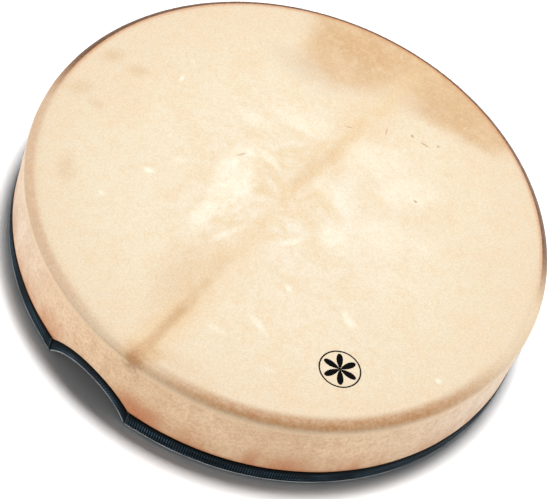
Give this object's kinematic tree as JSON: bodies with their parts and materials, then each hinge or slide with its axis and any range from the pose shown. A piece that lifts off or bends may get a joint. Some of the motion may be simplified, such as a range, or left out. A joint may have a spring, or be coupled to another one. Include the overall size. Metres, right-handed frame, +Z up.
{
  "type": "frame drum",
  "caption": "Round hand-held frame drum: bent laminated beech frame, goat-skin head lapped down its outside, black ribbon on the lower rim and an arched hand grip.",
  "frame": {"origin": "centre of the lower rim, on the plane that the drum stands on with its head up", "axes": "+Z up through the head, -Y towards the arched hand grip, +X to the right of the grip as seen from outside"},
  "size_m": [0.5012, 0.5012, 0.09],
  "materials": {
    "beech": "satin",
    "goat_skin": "satin",
    "grosgrain": "ribbed satin",
    "staple_wire": "galvanised"
  },
  "bodies": {
    "root": {"frame_ply_1": "beech", "frame_ply_2": "beech", "frame_ply_3": "beech", "frame_ply_4": "beech", "frame_ply_5": "beech", "frame_ply_6": "beech", "frame_ply_7": "beech", "skin_head": "goat_skin", "ribbon_rim": "grosgrain", "ribbon_grip": "grosgrain", "skin_staples": "staple_wire"}
  },
  "joints": []
}
